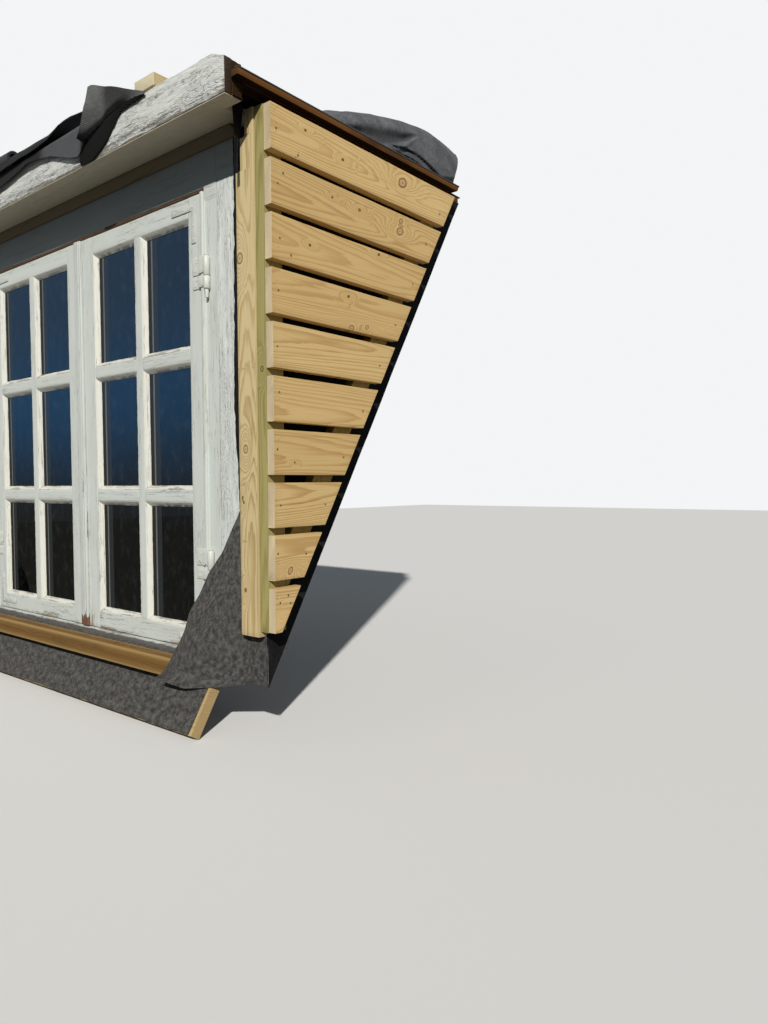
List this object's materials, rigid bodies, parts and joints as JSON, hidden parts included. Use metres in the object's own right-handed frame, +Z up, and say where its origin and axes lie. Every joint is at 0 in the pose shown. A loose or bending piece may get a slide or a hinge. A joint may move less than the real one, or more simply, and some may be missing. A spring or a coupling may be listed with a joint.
{
  "type": "dormer window",
  "caption": "Flat-roofed dormer with a pair of barred casement sashes, open-jointed boarded cheeks cut to the roof slope and a weathered cornice.",
  "frame": {"origin": "on the main roof's plane, in the middle of the underside of the front sole plate", "axes": "+X to the right along the window seen from outside, +Y into the house, +Z up"},
  "size_m": [1.555, 0.87, 1.4842],
  "materials": {
    "new_pine": "planed new softwood, unpainted",
    "green_pine": "green pressure-treated softwood",
    "frame_timber": "sawn structural softwood",
    "old_brown_wood": "old brown weathered softwood",
    "painted_wood": "old white paint, peeling and weathered",
    "orange_batten": "orange-brown treated batten",
    "pane_glass": "clear glass over a dark room",
    "black_membrane": "black building membrane",
    "grey_membrane": "grey non-woven building membrane",
    "roof_felt": "dark bitumen felt",
    "painted_steel": "steel under old white paint with rust"
  },
  "bodies": {
    "root": {"cheek_boards_left": "new_pine", "cheek_boards_right": "new_pine", "corner_battens": "green_pine", "slope_battens": "green_pine", "cheek_membranes": "black_membrane", "cheek_sheathing": "frame_timber", "corner_posts": "frame_timber", "cheek_studs": "frame_timber", "top_plates": "frame_timber", "sole_plates": "frame_timber", "cheek_lining_left": "frame_timber", "cheek_lining_right": "frame_timber", "header_beam": "frame_timber", "roof_beams": "frame_timber", "roof_ledger": "frame_timber", "roof_deck": "old_brown_wood", "ceiling_lining": "frame_timber", "roof_felt": "roof_felt", "rear_membrane": "grey_membrane", "pine_block": "new_pine", "front_fascia": "painted_wood", "fascia_backing": "old_brown_wood", "soffit_board": "painted_wood", "bed_mould": "painted_wood", "frieze_board": "painted_wood", "casing_left": "painted_wood", "casing_right": "painted_wood", "frame_head": "painted_wood", "frame_jambs": "painted_wood", "window_sill": "painted_wood", "window_board": "painted_wood", "sash_left": "painted_wood", "sash_right": "painted_wood", "panes_left": "pane_glass", "panes_right": "pane_glass", "meeting_strip": "painted_wood", "hinges": "painted_steel", "corner_irons": "painted_steel", "corner_lath_left": "new_pine", "corner_lath_right": "new_pine", "corner_felt": "black_membrane", "front_sole_plate": "frame_timber", "apron_membrane": "grey_membrane", "sill_batten": "orange_batten", "membrane_flap_left": "grey_membrane", "membrane_flap_right": "grey_membrane"}
  },
  "joints": []
}
